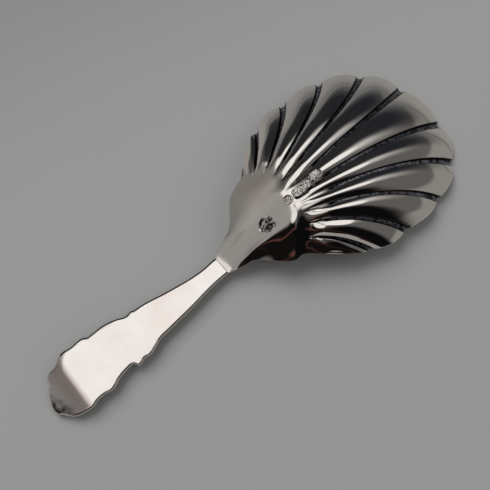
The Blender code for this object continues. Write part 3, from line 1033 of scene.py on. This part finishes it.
    def surface_point(self, x: float, y: float, mesh: bpy.types.Mesh) -> tuple[Vector, Vector]:
        """Nearest vertex of the sheet to a place in plan, the outer one of the two walls.

        Args:
            x: Place along the spoon.
            y: Place across it.
            mesh: The sheet's mesh.

        Returns:
            The point and its normal.
        """
        points = read_points(mesh)
        away = np.hypot(points[:, 0] - x, points[:, 1] - y) - self.punch_height_pull * points[:, 2]
        nearest = mesh.vertices[int(np.argmin(away))]
        return nearest.co.copy(), nearest.normal.copy()

    def punch(
        self, sheet: Piece, mark: PunchMark, wall: bpy.types.Material, floor: bpy.types.Material
    ) -> None:
        """Punch a blank mark with sloping walls into the sheet.

        Args:
            sheet: The sheet.
            mark: The mark.
            wall: Material of its walls.
            floor: Material of its floor.
        """
        point, normal = self.surface_point(mark.x, mark.y, sheet.data)
        deselect_all()
        corners = mark.outline()
        bpy.ops.mesh.primitive_circle_add(vertices=len(corners), radius=1.0, fill_type="NGON")
        cutter = bpy.context.active_object
        half = np.array((mark.length, mark.width)) / 2
        narrowed = 1.0 - mark.depth / half
        for vertex, (x, y) in zip(cutter.data.vertices, corners, strict=True):
            vertex.co = (x * narrowed[0], y * narrowed[1], -mark.depth)
        cutter.data.materials.append(wall)
        cutter.data.materials.append(floor)
        rise = self.punch_rise * mark.depth
        spread = (half - mark.depth + rise) / (half - mark.depth)
        bpy.ops.object.mode_set(mode="EDIT")
        bpy.ops.mesh.select_all(action="SELECT")
        bpy.ops.mesh.extrude_region_move(TRANSFORM_OT_translate={"value": (0.0, 0.0, rise)})
        bpy.ops.transform.resize(value=(spread[0], spread[1], 1.0), center_override=(0.0, 0.0, 0.0))
        bpy.ops.mesh.select_all(action="SELECT")
        bpy.ops.mesh.normals_make_consistent(inside=False)
        bpy.ops.object.mode_set(mode="OBJECT")
        for face in cutter.data.polygons:
            face.material_index = int(face.normal.z < self.punch_floor_facing)
        sideways = normal.cross(Vector((1.0, 0.0, 0.0))).normalized()
        forward = sideways.cross(normal)
        turn = Matrix((forward, sideways, normal)).transposed().to_4x4()
        cutter.data.transform(Matrix.Translation(point) @ turn)
        apply_modifier(
            sheet, "BOOLEAN", operation="DIFFERENCE", object=cutter, solver="EXACT", material_mode="TRANSFER"
        )
        bpy.data.objects.remove(cutter)

    def build(self) -> Piece:
        """Model and dress the bowl.

        Returns:
            The bowl, in the place of its CAD node.
        """
        bowl = self.press_sheet()
        silver, dark, worn = self.silver.make(), self.pocket.make(), self.worn_pocket.make()
        bowl.data.materials.append(silver)
        self.join_tongue(bowl)
        for mark in self.marks:
            self.punch(bowl, mark, *((silver, dark) if mark.dark_floor else (dark, worn)))
        select_only(bowl)
        bpy.ops.object.shade_smooth_by_angle(angle=self.crease)
        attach(bowl, "root")
        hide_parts("shell_bowl")
        return bowl


@dataclass
class FlatHandle:
    """Strip handle with a shaped outline, rounded edges and a bent tip, rebated for the neck tongue."""

    silver: SatinSilver
    # Painted shade: a dark line on the back edge's rounding
    painted_shade_edge: OxideAndShadeSilver
    rubbed_edge: OxideAndShadeSilver
    name: str = "strip_handle"
    end_x: float = -7.72 * MM
    tip_x: float = -44.8 * MM
    thickness: float = 1.5 * MM
    top: float = 2.638 * MM
    edge_radius: float = 0.42 * MM
    edge_faces: int = 6
    edge_facing_least: float = 0.2
    rubbed_least: float = 0.45
    crease: float = math.radians(35)
    outline_fineness: int = 8
    weld: float = 1e-7
    tip_length: float = 6.2 * MM
    bend_radius: float = 9.0 * MM
    bend_angle: float = math.radians(12.2)
    bend_corner: float = 4.1 * MM
    bend_corner_slope: float = 0.33
    bend_corner_radius: float = 1.2 * MM
    # Cuts round the bend: the first place, the last place and how many
    bend_cuts_along: tuple[float, float, int] = (3.6 * MM, -2.4 * MM, 28)
    bend_cuts_across: tuple[float, float, int] = (2.4 * MM, 5.2 * MM, 15)
    rebate_end_x: float = -12.22 * MM
    rebate_top: float = 1.858 * MM
    rebate_cutter_height: float = 3.0 * MM
    rebate_cutter_width: float = 20.0 * MM
    rebate_overrun: float = 2.0 * MM

    # Edges from the neck outwards: distance from the handle's end or tip, and from the spoon's axis, in mm
    neck_front: tuple[Pair, ...] = ((-1.0, 2.10), (0.0, 2.10), (3.7, 2.25), (9.2, 2.95))
    neck_back: tuple[Pair, ...] = ((-1.0, 1.50), (0.0, 1.50), (3.6, 1.35), (9.7, 2.14))
    tip_front: tuple[Pair, ...] = (
        (23.2, 3.38), (20.8, 3.65), (19.2, 4.26), (17.9, 4.65), (17.1, 4.46), (15.5, 4.83), (14.8, 4.02),
        (13.7, 4.02), (11.8, 4.38), (9.65, 5.18), (8.3, 4.93), (6.55, 5.04), (5.8, 5.32), (4.0, 5.10),
        (2.3, 4.51), (1.2, 3.38), (0.75, 2.80), (0.1, 2.20),
    )
    tip_back: tuple[Pair, ...] = (
        (21.8, 3.22), (20.5, 3.32), (19.8, 3.55), (18.75, 3.40), (17.0, 4.09), (14.8, 4.63), (12.1, 4.67),
        (11.6, 4.68), (10.7, 5.16), (8.3, 5.14), (6.5, 5.35), (5.5, 4.93), (4.4, 4.21), (3.0, 4.04),
        (2.1, 3.31), (1.72, 2.13), (1.2, 1.70), (0.25, -0.20),
    )

    @property
    def bend_x(self) -> float:
        """Place along the spoon where the tip's bend starts."""
        return self.tip_x + self.tip_length

    def tip_drop(self, beyond: np.ndarray) -> np.ndarray:
        """How far the tip has fallen at a distance beyond the start of its bend."""
        bend_length = self.bend_radius * math.sin(self.bend_angle)
        in_bend = np.clip(beyond, 0.0, bend_length)
        fall = self.bend_radius - np.sqrt(self.bend_radius**2 - in_bend**2)
        return fall + np.maximum(beyond - bend_length, 0.0) * math.tan(self.bend_angle)

    def outline(self) -> list[Pair]:
        """Corners of the strip's outline.

        Returns:
            Points in plan, from the front of the neck round the tip to the back of the neck.
        """
        front = [(self.end_x - along * MM, -out * MM) for along, out in self.neck_front]
        front += [(self.tip_x + along * MM, -out * MM) for along, out in self.tip_front]
        back = [(self.end_x - along * MM, out * MM) for along, out in self.neck_back]
        back += [(self.tip_x + along * MM, out * MM) for along, out in self.tip_back]
        return [*front, *reversed(back)]

    def cut_strip(self) -> Piece:
        """Cut the outline from strip and round its edges.

        Returns:
            The flat handle as a mesh, its middle plane at z = 0.
        """
        deselect_all()
        bpy.ops.curve.primitive_bezier_circle_add(radius=1.0 * MM)
        strip = bpy.context.active_object
        strip.name = self.name
        curve = strip.data
        curve.dimensions = "2D"
        curve.fill_mode = "BOTH"
        curve.resolution_u = self.outline_fineness
        curve.offset = -self.edge_radius
        curve.bevel_depth = self.edge_radius
        curve.bevel_resolution = self.edge_faces - 2
        curve.extrude = self.thickness / 2 - self.edge_radius
        corners = self.outline()
        points = curve.splines[0].bezier_points
        points.add(len(corners) - len(points))
        for point, (x, y) in zip(points, corners, strict=True):
            point.co = (x, y, 0.0)
            point.handle_left_type = "AUTO"
            point.handle_right_type = "AUTO"
        for point in (points[0], points[-1]):
            point.handle_left_type = "VECTOR"
            point.handle_right_type = "VECTOR"
        bpy.ops.object.convert(target="MESH")
        strip = bpy.context.active_object
        bpy.ops.object.mode_set(mode="EDIT")
        bpy.ops.mesh.select_all(action="SELECT")
        bpy.ops.mesh.remove_doubles(threshold=self.weld)
        bpy.ops.mesh.normals_make_consistent(inside=False)
        # The seam's end is cut square, so that its edges stay sharp against the heel
        bpy.ops.mesh.bisect(
            plane_co=(self.end_x, 0.0, 0.0), plane_no=(1.0, 0.0, 0.0), use_fill=True, clear_outer=True
        )
        bpy.ops.object.mode_set(mode="OBJECT")
        return strip

    def beyond_bend(self, points: np.ndarray) -> np.ndarray:
        """Distances beyond the start of the bend, whose line turns up the back edge in a rounded corner."""
        radius = self.bend_corner_radius
        past = self.bend_x - points[:, 0]
        out = points[:, 1] - self.bend_corner + past * self.bend_corner_slope
        return np.hypot(np.maximum(past + radius, 0.0), np.maximum(out + radius, 0.0)) - radius

    def bend_tip(self, strip: Piece) -> None:
        """Cut the strip into small faces at the bend and bend its tip down to the table."""
        select_only(strip)
        bpy.ops.object.mode_set(mode="EDIT")
        for station in np.linspace(*self.bend_cuts_along):
            bpy.ops.mesh.select_all(action="SELECT")
            bpy.ops.mesh.bisect(plane_co=(self.bend_x + station, 0.0, 0.0), plane_no=(1.0, 0.0, 0.0))
        for station in np.linspace(*self.bend_cuts_across):
            bpy.ops.mesh.select_all(action="SELECT")
            bpy.ops.mesh.bisect(plane_co=(0.0, station, 0.0), plane_no=(0.0, 1.0, 0.0))
        bpy.ops.object.mode_set(mode="OBJECT")
        points = read_points(strip.data)
        points[:, 2] += self.top - self.thickness / 2 - self.tip_drop(self.beyond_bend(points))
        points[:, 2] = np.maximum(points[:, 2], 0.0)
        place_points(strip.data, points)

    def cut_rebate(self, strip: Piece) -> None:
        """Cut the rebate for the tongue into the underside of the neck."""
        high, low = self.rebate_top, self.rebate_top - self.rebate_cutter_height
        front, back = self.end_x + self.rebate_overrun, self.rebate_end_x
        deselect_all()
        bpy.ops.mesh.primitive_cube_add(
            size=1.0,
            location=((front + back) / 2, 0.0, (high + low) / 2),
            scale=(front - back, self.rebate_cutter_width, high - low),
        )
        cutter = bpy.context.active_object
        bpy.ops.object.transform_apply(location=True, rotation=True, scale=True)
        apply_modifier(strip, "BOOLEAN", operation="DIFFERENCE", object=cutter, solver="EXACT")
        bpy.data.objects.remove(cutter)

    def dress_edges(self, strip: Piece) -> None:
        """Paint a dark line of shade on the back edge's rounding as far as the bend, and rub the tip's edge
        bright.
        """
        strip.data.materials.append(self.painted_shade_edge.make())
        strip.data.materials.append(self.rubbed_edge.make())
        for face in strip.data.polygons:
            normal = face.normal
            # Painted shade: the back edge's upper rounding, as far as the bend, takes the dark line
            if face.center.x > self.bend_x:
                if normal.y > self.edge_facing_least and normal.z > self.edge_facing_least:
                    face.material_index = 1
            elif min(normal.x, normal.y) < -self.rubbed_least and normal.z > -self.edge_facing_least:
                face.material_index = 2

    def build(self) -> Piece:
        """Model and dress the handle.

        Returns:
            The handle, in the place of its CAD node.
        """
        handle = self.cut_strip()
        handle.data.name = self.name
        handle.data.materials.append(self.silver.make())
        self.bend_tip(handle)
        self.cut_rebate(handle)
        self.dress_edges(handle)
        select_only(handle)
        bpy.ops.object.shade_smooth_by_angle(angle=self.crease)
        apply_modifier(handle, "WEIGHTED_NORMAL", mode="FACE_AREA", keep_sharp=True)
        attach(handle, "root")
        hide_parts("handle")
        return handle


@dataclass
class SolderSeam:
    """Film of solder at the neck: the CAD solid has its shape, so it keeps it and takes the finish."""

    solder: FiledSolder
    node: str = "solder_seam"

    def dress(self, nodes: dict[str, Piece]) -> Piece:
        """Give the CAD node its finish.

        Args:
            nodes: The CAD nodes by name.

        Returns:
            The dressed node.
        """
        film = nodes[self.node]
        finish = self.solder.make()
        for slot in film.material_slots:
            slot.material = finish
        return film


@dataclass(frozen=True)
class StudioCard:
    """A soft-edged panel of the studio, as the spoon sees it.

    Its place is in degrees from overhead, along the picture's right and up; its half sizes are in degrees.
    """

    name: str
    right: float
    up: float
    half_length: float
    half_width: float
    turn: float
    soft: float
    colour: str


@dataclass(frozen=True)
class SoftLamp:
    """A soft square lamp that faces the spoon: where it hangs, the length of its sides and its watts."""

    name: str
    place: Triple
    size: float
    power: float


@dataclass
class Studio:
    """Plain soft studio: pale table, soft lamps, panels round the spoon and the camera."""

    table: PaintedTable
    table_size: float = 3.0
    table_cuts: int = 3
    surround: str = "#8B8986"
    backdrop: str = "#949494"
    camera_place: Triple = (-0.02501, -0.02709, 0.10507)
    camera_right: Triple = (0.76211, -0.64745, 0.00048)
    camera_down: Triple = (-0.61171, -0.72029, -0.32710)
    camera_forward: Triple = (0.21213, 0.24899, -0.94499)
    lens: float = 44.41
    sensor_width: float = 36.0
    nearest: float = 1.0 * MM
    lamps: tuple[SoftLamp, ...] = (
        SoftLamp("key_lamp", (-0.06, 0.86, 1.20), 1.15, 19.5),
        SoftLamp("fill_lamp", (0.45, -0.55, 0.9), 0.9, 2.0),
    )
    turn: float = math.radians(40.35)
    cards: tuple[StudioCard, ...] = (
        StudioCard("room", 0.0, 2.0, 75.0, 92.0, 0.0, 0.02, "#605E5D"),
        StudioCard("upper_sweep", 15.0, 105.0, 90.0, 38.0, 0.0, 0.35, "#6C6C6C"),
        StudioCard("upper_left_wall", -58.7, 46.5, 38.0, 29.4, 73.0, 0.53, "#51504F"),
        StudioCard("left_near_wall", -26.0, 14.0, 32.0, 22.0, 20.0, 0.5, "#8B8987"),
        StudioCard("left_wall", -47.0, -20.0, 42.0, 36.0, 51.0, 0.5, "#939190"),
        StudioCard("panel_glow", 30.0, 20.0, 24.0, 16.0, 45.0, 0.7, "#D4D2D0"),
        StudioCard("panel_frame", 28.3, -8.2, 29.2, 7.8, 52.7, 0.25, "#454343"),
        StudioCard("dark_upper_wall", 19.6, 66.6, 46.3, 18.5, -20.9, 0.42, "#232529"),
        StudioCard("dark_upper_near", -7.2, 57.4, 44.9, 24.4, -28.5, 0.36, "#29292B"),
        StudioCard("black_lower_flag", 43.0, -60.0, 46.0, 31.0, 90.0, 0.2, "#0B0B0C"),
        StudioCard("black_bottom", 0.9, -81.8, 64.6, 21.8, -71.3, 0.11, "#110E0E"),
        StudioCard("brown_door", 0.5, -52.5, 23.2, 3.0, 5.1, 0.3, "#5A3A33"),
        StudioCard("brown_shelf", 19.9, -70.7, 33.0, 2.4, -7.3, 0.37, "#372521"),
        StudioCard("overhead_panel_left", -6.9, -17.8, 16.5, 21.9, 111.6, 0.14, "#E9E8E6"),
        StudioCard("overhead_panel_right", 26.2, 10.5, 20.0, 17.5, 50.0, 0.18, "#F4F2F0"),
        StudioCard("overhead_panel_middle", -8.0, 11.0, 22.0, 13.0, 42.0, 0.18, "#F5F2EF"),
    )

    def lay_table(self) -> None:
        """Lay the table under the spoon."""
        deselect_all()
        bpy.ops.mesh.primitive_plane_add(size=self.table_size)
        table = bpy.context.active_object
        table.name = "table"
        bpy.ops.object.mode_set(mode="EDIT")
        bpy.ops.mesh.select_all(action="SELECT")
        bpy.ops.mesh.subdivide(number_cuts=self.table_cuts)
        bpy.ops.object.mode_set(mode="OBJECT")
        table.data.materials.append(self.table.make())

    def light_world(self) -> None:
        """Hang soft panels round the spoon for it to mirror, in front of a plain backdrop."""
        world = bpy.data.worlds.new("studio")
        bpy.context.scene.world = world
        world.use_nodes = True
        tree = world.node_tree
        tree.nodes.clear()
        direction = add_node(tree, "ShaderNodeTexCoord").outputs["Generated"]
        turned = add_node(
            tree,
            "ShaderNodeVectorRotate",
            {"Vector": direction, "Angle": self.turn},
            rotation_type="Z_AXIS",
        ).outputs["Vector"]
        parts = add_node(tree, "ShaderNodeSeparateXYZ", {"Vector": turned})
        angle = add_node(tree, "ShaderNodeMath", {0: parts.outputs["Z"]}, operation="ARCCOSINE")
        degrees = add_node(tree, "ShaderNodeMath", {0: angle.outputs[0]}, operation="DEGREES")
        level = add_node(tree, "ShaderNodeCombineXYZ", {"X": parts.outputs["X"], "Y": parts.outputs["Y"]})
        ahead = add_node(tree, "ShaderNodeVectorMath", {0: level.outputs[0]}, operation="NORMALIZE")
        dome = add_node(
            tree,
            "ShaderNodeVectorMath",
            {0: ahead.outputs[0], "Scale": degrees.outputs[0]},
            operation="SCALE",
        ).outputs["Vector"]

        colour = self.surround
        for card in self.cards:
            own = add_node(
                tree,
                "ShaderNodeMapping",
                {
                    "Vector": dome,
                    "Location": (card.right, card.up, 0.0),
                    "Rotation": (0.0, 0.0, math.radians(card.turn)),
                    "Scale": (card.half_length, card.half_width, 1.0),
                },
                vector_type="TEXTURE",
            ).outputs["Vector"]
            away = add_node(tree, "ShaderNodeVectorMath", {0: own}, operation="LENGTH").outputs["Value"]
            edge = (1.0 - card.soft, 1.0 + card.soft)
            inside = remap(tree, away, edge, (1.0, 0.0), easing="SMOOTHSTEP")
            colour = mix(tree, inside, colour, card.colour)
        panels = add_node(tree, "ShaderNodeBackground", {"Color": colour})
        plain = add_node(tree, "ShaderNodeBackground", {"Color": linear(self.backdrop)})
        ray = add_node(tree, "ShaderNodeLightPath")
        shown = add_node(
            tree,
            "ShaderNodeMixShader",
            {0: ray.outputs["Is Glossy Ray"], 1: plain.outputs[0], 2: panels.outputs[0]},
        )
        add_node(tree, "ShaderNodeOutputWorld", {"Surface": shown.outputs[0]})

    def hang_lamp(self, lamp: SoftLamp) -> None:
        """Hang a lamp that lights the table and stays out of the spoon's mirror."""
        deselect_all()
        bpy.ops.object.light_add(type="AREA", location=lamp.place)
        light = bpy.context.active_object
        light.name = lamp.name
        light.data.shape = "SQUARE"
        light.data.size = lamp.size
        light.data.energy = lamp.power
        light.rotation_euler = (-Vector(lamp.place)).to_track_quat("-Z", "Y").to_euler()
        light.visible_glossy = False

    def set_camera(self) -> None:
        """Set the camera over the spoon."""
        deselect_all()
        bpy.ops.object.camera_add()
        camera = bpy.context.active_object
        camera.name = "camera"
        axes = (Vector(self.camera_right), -Vector(self.camera_down), -Vector(self.camera_forward))
        pose = Matrix(axes).transposed().to_4x4()
        pose.translation = self.camera_place
        camera.matrix_world = pose
        camera.data.lens = self.lens
        camera.data.sensor_width = self.sensor_width
        camera.data.clip_start = self.nearest
        bpy.context.scene.camera = camera

    def build(self) -> None:
        """Set up camera, table, lamps and panels."""
        bpy.context.scene.view_settings.view_transform = "Standard"
        self.set_camera()
        self.lay_table()
        self.light_world()
        for lamp in self.lamps:
            self.hang_lamp(lamp)


def main() -> None:
    """Build the spoon and its studio in order, and report each piece."""
    logging.basicConfig(level=logging.INFO, format="%(name)s: %(message)s")
    studio = Studio(PaintedTable())
    studio.build()
    LOG.info("studio set up")
    worn = OxideAndShadeSilver("worn_oxidised_silver", grain=0.24 * MM, bare=(0.42, 0.56))
    bowl = ShellBowl(ShellForm(), PolishedSilver(), OxideAndShadeSilver(), worn, WornPatch()).build()
    LOG.info("%s: %d faces", bowl.name, len(bowl.data.polygons))
    # Painted shade along the handle's back edge
    painted_shade_edge = OxideAndShadeSilver("painted_shade_edge_silver", bare=(0.66, 0.86))
    rubbed_edge = OxideAndShadeSilver("rubbed_edge_silver", bare=(0.2, 0.4))
    handle = FlatHandle(SatinSilver(), painted_shade_edge, rubbed_edge).build()
    LOG.info("%s: %d faces", handle.name, len(handle.data.polygons))
    seam = SolderSeam(FiledSolder()).dress(frame["nodes"])
    LOG.info("%s: %d faces", seam.name, len(seam.data.polygons))


if __name__ == "__main__":
    main()
